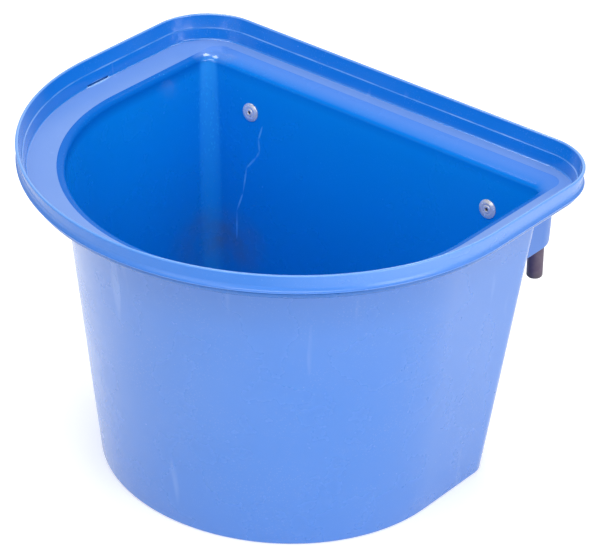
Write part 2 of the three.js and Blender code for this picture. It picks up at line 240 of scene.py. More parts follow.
def body_insets(depth):
    share = (depth - BODY_TOP_DEPTH) / (LIP_TOP - BODY_TOP_DEPTH)
    return {key: mix(BODY_TOP[key], BODY_FOOT[key], share) for key in BODY_TOP}


def body_outline(depth, inset):
    """The tapered body's outline at a depth below the lip's top, moved inwards."""
    return section(body_insets(depth), inset)


def wall_face(x, depth, inset):
    """A point of the back wall, at x and a depth, this far inside its outer face."""
    return Vector((x, RIM_BACK - body_insets(depth)["back"] - inset, LIP_TOP - depth))


def ring(outline, depth):
    return [Vector((point[0], point[1], LIP_TOP - depth)) for point in outline]


def new_object(name, mesh):
    piece = bpy.data.objects.new(name, mesh)
    bpy.context.scene.collection.objects.link(piece)
    return piece


def smooth(mesh):
    mesh.polygons.foreach_set("use_smooth", [True] * len(mesh.polygons))
    mesh.set_sharp_from_angle(angle=SHARP_ANGLE)


def loft(name, rings):
    """A closed skin through rings of equal count, smooth but for its sharp edges."""
    count = len(rings[0])
    vertices = [point for one in rings for point in one]
    faces = []
    for r in range(len(rings) - 1):
        low = r * count
        for k in range(count):
            following = (k + 1) % count
            faces.append((low + k, low + following, low + count + following, low + count + k))
    last = (len(rings) - 1) * count
    faces.append(tuple(reversed(range(count))))
    faces.append(tuple(range(last, last + count)))
    mesh = bpy.data.meshes.new(name)
    mesh.from_pydata(vertices, [], faces)
    mesh.validate()
    smooth(mesh)
    return new_object(name, mesh)


def turned(name, profile, place):
    """A piece turned about its own z axis from (radius, height) points, then put in place."""
    mesh = bpy.data.meshes.new(name)
    work = bmesh.new()
    rings = []
    for radius, height in profile:
        if radius == 0:
            rings.append([work.verts.new((0, 0, height))])
            continue
        circle = []
        for k in range(TURNED_SIDES):
            angle = 2 * HALF * k / TURNED_SIDES
            x, y = radius * math.cos(angle), radius * math.sin(angle)
            circle.append(work.verts.new((x, y, height)))
        rings.append(circle)
    closed = profile[0][0] != 0 and profile[-1][0] != 0
    pairs = list(zip(rings, rings[1:])) + ([(rings[-1], rings[0])] if closed else [])
    for low, high in pairs:
        for k in range(TURNED_SIDES):
            following = (k + 1) % TURNED_SIDES
            corners = [low[k % len(low)], low[following % len(low)]]
            corners += [high[following % len(high)], high[k % len(high)]]
            unique = list(dict.fromkeys(corners))
            if len(unique) > 2:
                work.faces.new(unique)
    bmesh.ops.recalc_face_normals(work, faces=work.faces)
    work.to_mesh(mesh)
    work.free()
    mesh.transform(place)
    smooth(mesh)
    return new_object(name, mesh)


def rounded(corners):
    """(radius, height, rounding) corners as a profile whose corners are turned to arcs."""
    profile = []
    for k, (x, y, size) in enumerate(corners):
        if size == 0 or k in (0, len(corners) - 1):
            profile.append((x, y))
            continue
        here = Vector((x, y))
        before = (Vector(corners[k - 1][:2]) - here).normalized()
        after = (Vector(corners[k + 1][:2]) - here).normalized()
        opening = before.angle(after)
        reach = size / math.tan(opening / 2)
        middle = here + (before + after).normalized() * (size / math.sin(opening / 2))
        start, end = here + before * reach - middle, here + after * reach - middle
        for share in shares(PROFILE_STEPS):
            profile.append(tuple(middle + start.slerp(end, share).normalized() * size))
    return profile


def prism(name, corners, low, high, to_world=Matrix.Identity(4)):
    """A closed prism over flat (x, y) corners, from low to high along z, then put in place."""
    rings = [[Vector((x, y, level)) for x, y in corners] for level in (low, high)]
    piece = loft(name, rings)
    piece.data.transform(to_world)
    return piece


def block(name, low, high):
    """An upright box between two opposite corners."""
    corners = [(low[0], low[1]), (high[0], low[1]), (high[0], high[1]), (low[0], high[1])]
    return prism(name, corners, low[2], high[2])


def upright(name, radius, x, y, low, high):
    """An upright cylinder from low to high."""
    turns = [2 * HALF * share for share in shares(BORE_SIDES)[:-1]]
    corners = [(x + radius * math.cos(turn), y + radius * math.sin(turn)) for turn in turns]
    return prism(name, corners, low, high)


def boolean(piece, tool, operation):
    """Joins, cuts or intersects a piece with a tool, which is used up."""
    change = piece.modifiers.new("change", "BOOLEAN")
    change.operation = operation
    change.solver = "EXACT"
    change.object = tool
    graph = bpy.context.evaluated_depsgraph_get()
    graph.update()
    mesh = bpy.data.meshes.new_from_object(piece.evaluated_get(graph))
    piece.modifiers.clear()
    piece.data = mesh
    bpy.data.objects.remove(tool)


# Material helpers

NOISE_ROUGHNESS = 0.55
SPECK_CORE = 0.6
TRACE_CORE = 0.6
TRACE_OVERLAP = 0.62
TRACE_INTO_WALL = 6 * MM
BEVEL_SAMPLES = 6
BEVEL_RADIUS = 0.4 * MM


def new_material(name, color, roughness, metallic=0.0, specular=0.5):
    material = bpy.data.materials.new(name)
    material.use_nodes = True
    shader = material.node_tree.nodes["Principled BSDF"]
    shader.inputs["Base Color"].default_value = (*color, 1)
    shader.inputs["Roughness"].default_value = roughness
    shader.inputs["Metallic"].default_value = metallic
    shader.inputs["Specular IOR Level"].default_value = specular
    return material


def add(tree, kind, **values):
    node = tree.nodes.new(kind)
    for key, value in values.items():
        setattr(node, key, value)
    return node


def place_of(tree):
    """Object coordinates, which are the frame's metres."""
    return add(tree, "ShaderNodeTexCoord").outputs["Object"]


def feed(tree, socket, value):
    """Sets a socket to a number or a color, or links it to another node's output."""
    if isinstance(value, bpy.types.NodeSocket):
        tree.links.new(value, socket)
    elif isinstance(value, tuple):
        socket.default_value = (*value, 1)
    else:
        socket.default_value = value


def placed(tree, stretch, place):
    """Object coordinates, stretched and moved."""
    mapping = add(tree, "ShaderNodeMapping")
    mapping.inputs["Scale"].default_value = stretch
    mapping.inputs["Location"].default_value = place
    tree.links.new(place_of(tree), mapping.inputs["Vector"])
    return mapping.outputs["Vector"]


def noise(tree, scale, detail, stretch=(1, 1, 1), place=(0, 0, 0)):
    texture = add(tree, "ShaderNodeTexNoise")
    texture.inputs["Scale"].default_value = scale
    texture.inputs["Detail"].default_value = detail
    texture.inputs["Roughness"].default_value = NOISE_ROUGHNESS
    tree.links.new(placed(tree, stretch, place), texture.inputs["Vector"])
    return texture.outputs["Fac"]


def mottled(tree, scale, detail, levels, values, stretch=(1, 1, 1), place=(0, 0, 0)):
    """Noise, mapped from two of its levels to two values. Its place sets it apart from others."""
    return ramp(tree, noise(tree, scale, detail, stretch, place), *levels, *values)


def specks(tree, scale, size, stretch=(1, 1, 1), place=(0, 0, 0)):
    """Small separate spots, one in each cell: 1 inside a spot, 0 outside."""
    texture = add(tree, "ShaderNodeTexVoronoi")
    texture.inputs["Scale"].default_value = scale
    texture.inputs["Randomness"].default_value = 1
    tree.links.new(placed(tree, stretch, place), texture.inputs["Vector"])
    return ramp(tree, texture.outputs["Distance"], size, size * SPECK_CORE)


def ramp(tree, value, low, high, start=0.0, end=1.0):
    """Maps value from low..high to start..end and holds it outside."""
    node = add(tree, "ShaderNodeMapRange")
    node.inputs["From Min"].default_value = low
    node.inputs["From Max"].default_value = high
    node.inputs["To Min"].default_value = start
    node.inputs["To Max"].default_value = end
    tree.links.new(value, node.inputs["Value"])
    return node.outputs["Result"]


def combined(tree, operation, first, second):
    node = add(tree, "ShaderNodeMath", operation=operation)
    feed(tree, node.inputs[0], first)
    feed(tree, node.inputs[1], second)
    return node.outputs["Value"]


def times(tree, first, second):
    return combined(tree, "MULTIPLY", first, second)


def larger(tree, first, second):
    return combined(tree, "MAXIMUM", first, second)


def blend(tree, kind, fac, first, second):
    """From first to second, kind being FLOAT or RGBA."""
    node = add(tree, "ShaderNodeMix", data_type=kind)
    feed(tree, node.inputs["Factor"], fac)
    feed(tree, node.inputs["A"], first)
    feed(tree, node.inputs["B"], second)
    return node.outputs["Result"]


def blend_color(tree, fac, first, second):
    return blend(tree, "RGBA", fac, first, second)


def blend_value(tree, fac, first, second):
    return blend(tree, "FLOAT", fac, first, second)


def near(tree, point, reach, core, turn=(0, 0, 0)):
    """1 in the core of an ellipsoid about a point, falling to 0 at its reach. Reach holds the
    half axes, and core is a share of them."""
    mapping = add(tree, "ShaderNodeMapping", vector_type="TEXTURE")
    mapping.inputs["Location"].default_value = point
    mapping.inputs["Rotation"].default_value = turn
    mapping.inputs["Scale"].default_value = reach
    length = add(tree, "ShaderNodeVectorMath", operation="LENGTH")
    tree.links.new(place_of(tree), mapping.inputs["Vector"])
    tree.links.new(mapping.outputs["Vector"], length.inputs[0])
    return ramp(tree, length.outputs["Value"], 1, core)


def trace(tree, route, width):
    """1 on a thin trace that runs down the back wall through (x, depth) points."""
    total = None
    for (x, depth), (next_x, next_depth) in zip(route, route[1:]):
        middle = wall_face((x + next_x) / 2 * MM, (depth + next_depth) / 2 * MM, WALL)
        length = math.hypot(next_x - x, next_depth - depth) * MM
        lean = math.atan2(x - next_x, next_depth - depth)
        reach = (width, TRACE_INTO_WALL, length * TRACE_OVERLAP)
        part = near(tree, middle, reach, TRACE_CORE, (0, lean, 0))
        total = larger(tree, total, part) if total else part
    return total


def along(tree, axis):
    """The place along an axis of the frame, such as Z, the height above the ground."""
    node = add(tree, "ShaderNodeSeparateXYZ")
    tree.links.new(place_of(tree), node.inputs["Vector"])
    return node.outputs[axis]


def by_depth(tree, first, last, start=0.0, end=1.0):
    """Maps the depth below the lip's top from first..last to start..end."""
    return ramp(tree, along(tree, "Z"), LIP_TOP - first, LIP_TOP - last, start, end)


def bump(tree, height, distance, strength, onto=None):
    node = add(tree, "ShaderNodeBump")
    node.inputs["Distance"].default_value = distance
    node.inputs["Strength"].default_value = strength
    tree.links.new(height, node.inputs["Height"])
    if onto:
        tree.links.new(onto, node.inputs["Normal"])
    return node.outputs["Normal"]


def soft_edges(tree):
    node = add(tree, "ShaderNodeBevel", samples=BEVEL_SAMPLES)
    node.inputs["Radius"].default_value = BEVEL_RADIUS
    return node.outputs["Normal"]


# Materials

HAZE = (0.30, 0.46, 0.85)
DUST = (0.55, 0.68, 0.85)
# Painted shade under the lip
UNDER_LIP_SHADE = (0.0, 0.10, 0.38)
OUTSIDE_BLUE = (0.012, 0.175, 0.65)
# The bracket's blue is the tub's outside blue made a little darker, as painted shade under the rim
BRACKET_SHADED_BLUE = (0.015, 0.16, 0.61)
# Near black blue on the slit's cut faces: painted shade inside the slit
SLIT_SHADE = (0.0, 0.010, 0.06)

LIP_BLUE = (0.0, 0.17, 0.66)
RIM_BLUE = (0.0, 0.185, 0.70)
# The shelf's paler, greyer blue is partly the plastic's own color, partly a painted reflection of
# the bright backdrop
SHELF_BLUE_AND_SHEEN = (0.095, 0.235, 0.64)
LIP_DUST = (0.22, 0.44, 0.9)
# Painted highlight on the lip's top edge, on the inner step's edge and round the slit
PAINTED_EDGE_HIGHLIGHT = (0.26, 0.50, 0.92)
# Painted light on the lip's outer face, paler above the bead and towards the right
PAINTED_FACE_LIGHT = (0.17, 0.36, 0.85)

BASIN_BLUE = (0.0, 0.235, 0.80)
BASIN_HAZE = (0.0, 0.28, 0.82)
# Painted shade deep in the basin
BASIN_DEEP_SHADE = (0.0, 0.19, 0.58)
BASIN_DUST = (0.04, 0.40, 0.95)
# Painted shade on the mouth's rounding at the sides and at the back, paler next to the shelf at the
# back as a painted reflection
MOUTH_SIDE_SHADE = (0.0, 0.125, 0.54)
MOUTH_BACK_SHADE = (0.0, 0.17, 0.66)
MOUTH_TOP_SHEEN = (0.08, 0.23, 0.68)
# Painted highlight down the back left corner
CORNER_HIGHLIGHT = (0.03, 0.36, 0.95)
SPLASHES = (0.03, 0.46, 1.0)
SMUDGE = (0.07, 0.13, 0.26)
FLECKS = (0.08, 0.30, 0.72)
DRIP_BLUE = (0.09, 0.42, 0.95)

STEEL = (0.5, 0.51, 0.52)
ALUMINIUM = (0.98, 0.96, 0.92)
MANDREL = (0.12, 0.11, 0.1)
ZINC = (0.6, 0.61, 0.62)
RUBBER = (0.085, 0.055, 0.105)
RUBBER_WORN = (0.16, 0.125, 0.165)
RUBBER_TIP = (0.075, 0.08, 0.065)

# Noise: scale, detail and the two levels that are mapped
CLOUD_NOISE = (9, 3, (0.35, 0.7))
SCUFF_NOISE = (60, 2, (0.68, 0.76))
GLOSS_NOISE = (22, 4, (0.3, 0.7))
PATCH_NOISE = (14, 2, (0.5, 0.66))
FINE_PATCH_NOISE = (26, 2, (0.42, 0.62))
STEP_NOISE = (30, 3, (0.4, 0.6))
SMUDGE_NOISE = (45, 5, (0.35, 0.65))
DRIP_NOISE = (90, 2, (0.35, 0.6))
METAL_TONE_NOISE = (900, 3, (0.3, 0.7))
METAL_GLOSS_NOISE = (540, 3, (0.3, 0.7))
RUBBER_NOISE = (120, 4, (0.4, 0.7))
SCUFF_STRETCH = (1, 1, 0.12)

# Noise for bumps, scale and detail, with the bumps' depth and strength
PEEL_NOISE = (420, 2)
PEEL_DEPTH = 0.08 * MM
WAVE_NOISE = (11, 1)
WAVE_DEPTH = 1.5 * MM
METAL_PIT_NOISE = (1350, 2)
METAL_PIT_DEPTH = 0.05 * MM
RUBBER_GRAIN_NOISE = (700, 3)
RUBBER_GRAIN_DEPTH = 0.2 * MM
RUBBER_GRAIN_STRENGTH = 0.3
BUMP_STRENGTH = 0.2

# Specks: scale and size, and stretch where they have one
DUST_SPECKS = (170, 0.11)
FINE_SPECKS = (480, 0.32)
SPLASH_SPECKS = (420, 0.3, (1, 1, 0.5))
FLECK_SPECKS = (330, 0.22)

# Gloss, as roughness or as a factor of a material's own
COAT_ROUGHNESS = 0.08
RUBBER_ROUGHNESS = 0.55
PLASTIC_SPREAD = (0.85, 1.2)
METAL_SPREAD = (0.8, 1.3)
TUCKED_GLOSS = 0.5
ROUNDING_GLOSS = 0.12
ROUNDING_GLOSS_LEVELS = (0.3, 0.9)

# How far a color covers what is under it
THIN_HAZE = 0.6
SCUFF_SHARE = 0.25
FINE_DUST_SHARE = 0.3
METAL_DARKER = 0.6
RUBBER_WEAR_SHARE = 0.6
TIP_SHARE = 0.55
# How far the painted shade under the lip covers the base
LIP_SHADE_SHARE = 0.3
CLOSE_SHADE_SHARE = 0.55
TOP_EDGE_SHARE = 0.4
STEP_BREAKS = (0.05, 0.4)
SLIT_HIGHLIGHT_SHARE = 0.8
FACE_SHARE = 0.35
FACE_RIGHT_SHARE = 0.6
DEEP_SHARE = 0.6
CORNER_HIGHLIGHT_SHARES = (0.1, 0.6)
SPLASH_SHARE = 0.45
SMUDGE_SHARE = 0.6
SMUDGE_BREAKS = (0.15, 1)
FLECK_SHARE = 0.35
DRIP_BREAKS = (0.5, 1)

# Bands of depth below the lip's top, and then bands along x and y
# Depths of the painted shade under the lip: a faint band, and a darker one right under it
LIP_SHADE_BAND = (75 * MM, 32 * MM)
CLOSE_SHADE_BAND = (36 * MM, 25 * MM)
# The lip's top edge, which gets a painted highlight
TOP_EDGE_BAND = (1.1 * MM, 0.4 * MM)
STEP_UPPER_BAND = (LIP_STEP_DROP - 0.6 * MM, LIP_STEP_DROP - 0.2 * MM)
STEP_LOWER_BAND = (LIP_STEP_DROP + 0.5 * MM, LIP_STEP_DROP + 0.2 * MM)
# Painted light on the lip's outer face, above the bead
FACE_BAND = (LIP_WAIST_DROP, 12 * MM)
ROUNDING_BAND = (SHELF_DROP + 13 * MM, SHELF_DROP + 3 * MM)
BY_SHELF_BAND = (SHELF_DROP + 3.5 * MM, SHELF_DROP + 0.3 * MM)
# Depths of the painted shade in the basin
DEEP_BAND = (90 * MM, 200 * MM)
CORNER_HIGHLIGHT_BAND = (160 * MM, 32 * MM)
BELOW_MOUTH_BAND = (23 * MM, 28 * MM)
TIP_BAND = (SLEEVE_TIP_DROP - 7 * MM, SLEEVE_TIP_DROP)
# Painted light on the lip's outer face, towards the right
FACE_RIGHT_BAND = (110 * MM, 190 * MM)
MOUTH_BACK_BAND = (RIM_BACK - 48 * MM, RIM_BACK - 34 * MM)

# A dried drip's way down the back wall: x and depth below the lip, in millimetres
DRIP = ((-104, 65), (-107, 77), (-105, 87), (-108, 93),
        (-117, 105), (-119, 128), (-124, 145), (-122, 169))
DRIP_WIDTH = 1 * MM

# Spots: the middle, and how far it reaches, its core as a share of that, and its turn
CORNER_INSET = WALL + 11 * MM
CORNER_PLACE = Vector((BODY_TOP["side"] + CORNER_INSET - RIM_HALF,
                       RIM_BACK - BODY_TOP["back"] - CORNER_INSET, LIP_TOP - 118 * MM))
CORNER_LEAN = (math.radians(-5.1), math.radians(-5.6), 0)
SPLASH_PLACE = CORNER_PLACE + Vector((0, 0, 50 * MM))
MOUTH_CORNER = Vector((MOUTH["side"] + 6 * MM - RIM_HALF, RIM_BACK - MOUTH["back"] - 8 * MM,
                       LIP_TOP - SHELF_DROP - 1 * MM))
SMUDGE_PLACE = wall_face(-131 * MM, 174 * MM, WALL)
SLIT_PLACE = Vector((LIP_FOOT_INSET - RIM_HALF + SLIT_WIDTH / 2,
                     RIM_BACK - SLIT_FROM_BACK - SLIT_LENGTH / 2, LIP_TOP - LIP_FOOT_DROP))
# Painted highlight down the back left corner
CORNER_HIGHLIGHT_SPOT = (CORNER_PLACE, (11 * MM, 11 * MM, 150 * MM), 0.75, CORNER_LEAN)
SPLASH_SPOT = (SPLASH_PLACE, (15 * MM, 15 * MM, 60 * MM), 0.5, CORNER_LEAN)
GLEAM_SPOT = (MOUTH_CORNER, (26 * MM, 26 * MM, 14 * MM), 0.6)
SMUDGE_SPOT = (SMUDGE_PLACE, (46 * MM, 60 * MM, 34 * MM), 0.15)
FLECK_SPOT = (SMUDGE_PLACE, (70 * MM, 80 * MM, 110 * MM), 0.3)
# Painted highlight round the slit
SLIT_HIGHLIGHT_SPOT = (SLIT_PLACE, (2.2 * MM, SLIT_LENGTH * 0.6, 2.2 * MM), 0.85)


def spread(roughness, factors):
    """The least and the greatest roughness of a material whose gloss varies."""
    return roughness * factors[0], roughness * factors[1]


def plastic(name, color, haze_color, haze, roughness, specular, coat):
    """Moulded plastic: orange-peel skin, faint cloudy haze and fine upright scuffs."""
    material = new_material(name, color, roughness, 0.0, specular)
    tree = material.node_tree
    shader = tree.nodes["Principled BSDF"]
    cloud = mottled(tree, *CLOUD_NOISE, (haze * THIN_HAZE, haze))
    base = blend_color(tree, cloud, color, haze_color)
    scuffs = mottled(tree, *SCUFF_NOISE, (0, SCUFF_SHARE), SCUFF_STRETCH)
    base = blend_color(tree, scuffs, base, haze_color)
    dull = mottled(tree, *GLOSS_NOISE, spread(roughness, PLASTIC_SPREAD))
    tree.links.new(dull, shader.inputs["Roughness"])
    shader.inputs["Coat Weight"].default_value = coat
    shader.inputs["Coat Roughness"].default_value = COAT_ROUGHNESS
    peel = bump(tree, noise(tree, *PEEL_NOISE), PEEL_DEPTH, BUMP_STRENGTH, soft_edges(tree))
    waves = bump(tree, noise(tree, *WAVE_NOISE), WAVE_DEPTH, BUMP_STRENGTH, peel)
    tree.links.new(waves, shader.inputs["Normal"])
    return material, tree, shader, base


def finish_plastic(parts, dust_color, dust):
    """Puts dust over the base so far, as specks in patches and finer ones in clouds."""
    material, tree, shader, base = parts
    if dust:
        patches = mottled(tree, *PATCH_NOISE, (0, 1), place=(0.3, 0.1, 0))
        dots = times(tree, specks(tree, *DUST_SPECKS), patches)
        base = blend_color(tree, times(tree, dots, dust), base, dust_color)
        clouds = mottled(tree, *FINE_PATCH_NOISE, (0, 1), place=(0.7, 0.2, 0.5))
        fine = times(tree, specks(tree, *FINE_SPECKS), clouds)
        base = blend_color(tree, times(tree, fine, dust * FINE_DUST_SHARE), base, dust_color)
    tree.links.new(base, shader.inputs["Base Color"])
    return material


def metal(name, color, roughness, metallic=1.0, contrast=0.3):
    """Metal with a fine grain in its tone, its gloss and its surface."""
    material = new_material(name, color, roughness, metallic)
    tree = material.node_tree
    shader = tree.nodes["Principled BSDF"]
    tone = mottled(tree, *METAL_TONE_NOISE, (0, contrast))
    darker = tuple(METAL_DARKER * c for c in color)
    tree.links.new(blend_color(tree, tone, color, darker), shader.inputs["Base Color"])
    dull = mottled(tree, *METAL_GLOSS_NOISE, spread(roughness, METAL_SPREAD))
    tree.links.new(dull, shader.inputs["Roughness"])
    pits = bump(tree, noise(tree, *METAL_PIT_NOISE), METAL_PIT_DEPTH, BUMP_STRENGTH)
    tree.links.new(pits, shader.inputs["Normal"])
    return material


def rubber(name, color, worn_color, tip_color):
    """Matt rubber, worn in patches and greyish green towards the sleeve's tip."""
    material = new_material(name, color, RUBBER_ROUGHNESS)
    tree = material.node_tree
    shader = tree.nodes["Principled BSDF"]
    tone_change = mottled(tree, *RUBBER_NOISE, (0, RUBBER_WEAR_SHARE))
    base = blend_color(tree, tone_change, color, worn_color)
    base = blend_color(tree, by_depth(tree, *TIP_BAND, 0, TIP_SHARE), base, tip_color)
    tree.links.new(base, shader.inputs["Base Color"])
    height = noise(tree, *RUBBER_GRAIN_NOISE)
    grain = bump(tree, height, RUBBER_GRAIN_DEPTH, RUBBER_GRAIN_STRENGTH)
    tree.links.new(grain, shader.inputs["Normal"])
    return material


def outside_plastic(name, color, haze, roughness, specular, coat=0.0, dust=0.25):
    """Plastic with painted shade under the lip, darkest right under it, where it is also less
    glossy.
    """
    material, tree, shader, base = plastic(name, color, HAZE, haze, roughness, specular, coat)
    lip_shade = by_depth(tree, *LIP_SHADE_BAND, 0, LIP_SHADE_SHARE)
    close_shade = by_depth(tree, *CLOSE_SHADE_BAND, 0, CLOSE_SHADE_SHARE)
    gloss = ramp(tree, close_shade, 0, CLOSE_SHADE_SHARE, 1, TUCKED_GLOSS)
    tree.links.new(times(tree, gloss, specular), shader.inputs["Specular IOR Level"])
    if coat:
        tree.links.new(times(tree, gloss, coat), shader.inputs["Coat Weight"])
    # Painted shade under the lip, over the base color
    base = blend_color(tree, larger(tree, lip_shade, close_shade), base, UNDER_LIP_SHADE)
    return finish_plastic((material, tree, shader, base), DUST, dust)


def lip_plastic(name, color, haze, roughness, specular, coat, dust, tone_change=""):
    """Plastic with a painted highlight on the lip's top edge and round the slit. With "step" the
    inner step's edge gets a painted highlight too, and with "face" the outer face gets painted
    light, paler above the bead and at the right."""
    material, tree, shader, base = plastic(name, color, HAZE, haze, roughness, specular, coat)
    # Painted highlights round the slit, on the lip's top edge and on the inner step's edge
    slit_highlight = times(tree, near(tree, *SLIT_HIGHLIGHT_SPOT), SLIT_HIGHLIGHT_SHARE)
    edge = by_depth(tree, *TOP_EDGE_BAND, 0, TOP_EDGE_SHARE)
    if tone_change == "step":
        step = times(tree, by_depth(tree, *STEP_UPPER_BAND), by_depth(tree, *STEP_LOWER_BAND))
        broken = mottled(tree, *STEP_NOISE, STEP_BREAKS, place=(0.4, 0, 0))
        edge = larger(tree, edge, times(tree, step, broken))
    base = blend_color(tree, larger(tree, slit_highlight, edge), base, PAINTED_EDGE_HIGHLIGHT)
    # Painted light: the outer face is paler above the bead and towards the right, where the light
    # falls
    if tone_change == "face":
        low = by_depth(tree, *FACE_BAND, 0, FACE_SHARE)
        right = ramp(tree, along(tree, "X"), *FACE_RIGHT_BAND, 0, FACE_RIGHT_SHARE)
        base = blend_color(tree, larger(tree, low, right), base, PAINTED_FACE_LIGHT)
    return finish_plastic((material, tree, shader, base), LIP_DUST, dust)


def mouth_rounding(tree, shader, base, specular, coat):
    """Paints shade on the mouth's rounding, paler next to the shelf at the back as a painted
    reflection, and dims its gloss, save in the back left corner.
    """
    rounding = by_depth(tree, *ROUNDING_BAND)
    back = blend_color(tree, by_depth(tree, *BY_SHELF_BAND), MOUTH_BACK_SHADE, MOUTH_TOP_SHEEN)
    to_back = ramp(tree, along(tree, "Y"), *MOUTH_BACK_BAND)
    gleam = near(tree, *GLEAM_SPOT)
    gloss = ramp(tree, rounding, *ROUNDING_GLOSS_LEVELS, 1, ROUNDING_GLOSS)
    gloss = larger(tree, gleam, gloss)
    tree.links.new(times(tree, gloss, specular), shader.inputs["Specular IOR Level"])
    tree.links.new(larger(tree, gleam, times(tree, gloss, coat)), shader.inputs["Coat Weight"])
    # Painted shade over the rounding
    return blend_color(tree, rounding, base, blend_color(tree, to_back, MOUTH_SIDE_SHADE, back))


def highlight_and_splashes(tree, base):
    """A painted highlight down the back left corner, below the mouth's rounding, with dried
    splashes.
    """
    corner_highlight = times(tree, near(tree, *CORNER_HIGHLIGHT_SPOT), by_depth(tree, *CORNER_HIGHLIGHT_BAND, *CORNER_HIGHLIGHT_SHARES))
    corner_highlight = times(tree, corner_highlight, by_depth(tree, *BELOW_MOUTH_BAND))
    # Painted highlight over the base
    base = blend_color(tree, corner_highlight, base, CORNER_HIGHLIGHT)
    dots = times(tree, specks(tree, *SPLASH_SPECKS), near(tree, *SPLASH_SPOT))
    return blend_color(tree, times(tree, dots, SPLASH_SHARE), base, SPLASHES)


def wall_marks(tree, base):
    """A brownish smudge low in the back left corner, flecks about it, and a drip's dried trace."""
    rough = mottled(tree, *SMUDGE_NOISE, SMUDGE_BREAKS, place=(0.2, 0, 0.4))
    smudge = times(tree, near(tree, *SMUDGE_SPOT), rough)
    base = blend_color(tree, times(tree, smudge, SMUDGE_SHARE), base, SMUDGE)
    dots = specks(tree, *FLECK_SPECKS, place=(0.1, 0.2, 0))
    flecks = times(tree, dots, near(tree, *FLECK_SPOT))
    base = blend_color(tree, times(tree, flecks, FLECK_SHARE), base, FLECKS)
    broken = mottled(tree, *DRIP_NOISE, DRIP_BREAKS, place=(0.5, 0, 0.1))
    drip = times(tree, trace(tree, DRIP, DRIP_WIDTH), broken)
    return blend_color(tree, drip, base, DRIP_BLUE)


def inside_plastic(name, color, haze, roughness, specular, coat, dust):
    """The basin's plastic, with painted shade deeper down, a painted highlight in its back left
    corner, and its marks.
    """
    parts = plastic(name, color, BASIN_HAZE, haze, roughness, specular, coat)
    material, tree, shader, base = parts
    base = mouth_rounding(tree, shader, base, specular, coat)
    # Painted shade, darker deeper down in the basin
    base = blend_color(tree, by_depth(tree, *DEEP_BAND, 0, DEEP_SHARE), base, BASIN_DEEP_SHADE)
    base = highlight_and_splashes(tree, base)
    base = wall_marks(tree, base)
    return finish_plastic((material, tree, shader, base), BASIN_DUST, dust)


# Plastics: name, color, haze, roughness, specular, coat, dust
outside_blue = outside_plastic("tub_outside", OUTSIDE_BLUE, 0.08, 0.26, 1.0, 0.25)
# The lip gets painted light on its outer face, and the rim gets a painted highlight on the step's
# edge
lip_blue = lip_plastic("tub_lip", LIP_BLUE, 0.02, 0.24, 0.7, 0.0, 0.2, "face")
rim_blue = lip_plastic("tub_rim", RIM_BLUE, 0.03, 0.2, 0.8, 1.0, 0.4, "step")
# The shelf's greyer blue and strong haze are partly a painted reflection of the backdrop
shelf_blue = lip_plastic("tub_shelf", SHELF_BLUE_AND_SHEEN, 0.2, 0.34, 0.6, 0.0, 0.35)
inside_blue = inside_plastic("tub_inside", BASIN_BLUE, 0.3, 0.26, 0.5, 0.5, 0.5)
# The slit's cut faces get painted shade
slit_shade = finish_plastic(plastic("slit_shade", SLIT_SHADE, HAZE, 0.0, 0.6, 0.0, 0.0), DUST, 0)
# The bracket is painted a little darker than the tub's outside, as shade under the rim
bracket_blue = outside_plastic("bracket_blue", BRACKET_SHADED_BLUE, 0.08, 0.35, 0.6)
# Metals: name, color, roughness
steel = metal("pin_steel", STEEL, 0.4)
aluminium = metal("rivet_aluminium", ALUMINIUM, 0.22, metallic=0.55, contrast=0.1)
mandrel_steel = metal("mandrel_steel", MANDREL, 0.5)
washer_zinc = metal("washer_zinc", ZINC, 0.35)
sleeve_rubber = rubber("sleeve_rubber", RUBBER, RUBBER_WORN, RUBBER_TIP)


def dressed(piece, material, node):
    """Gives a piece its material, unless it has its own, and lets it stand for a node."""
    if material:
        piece.data.materials.clear()
        piece.data.materials.append(material)
    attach(piece, "root")
    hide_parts(node)


# Tub

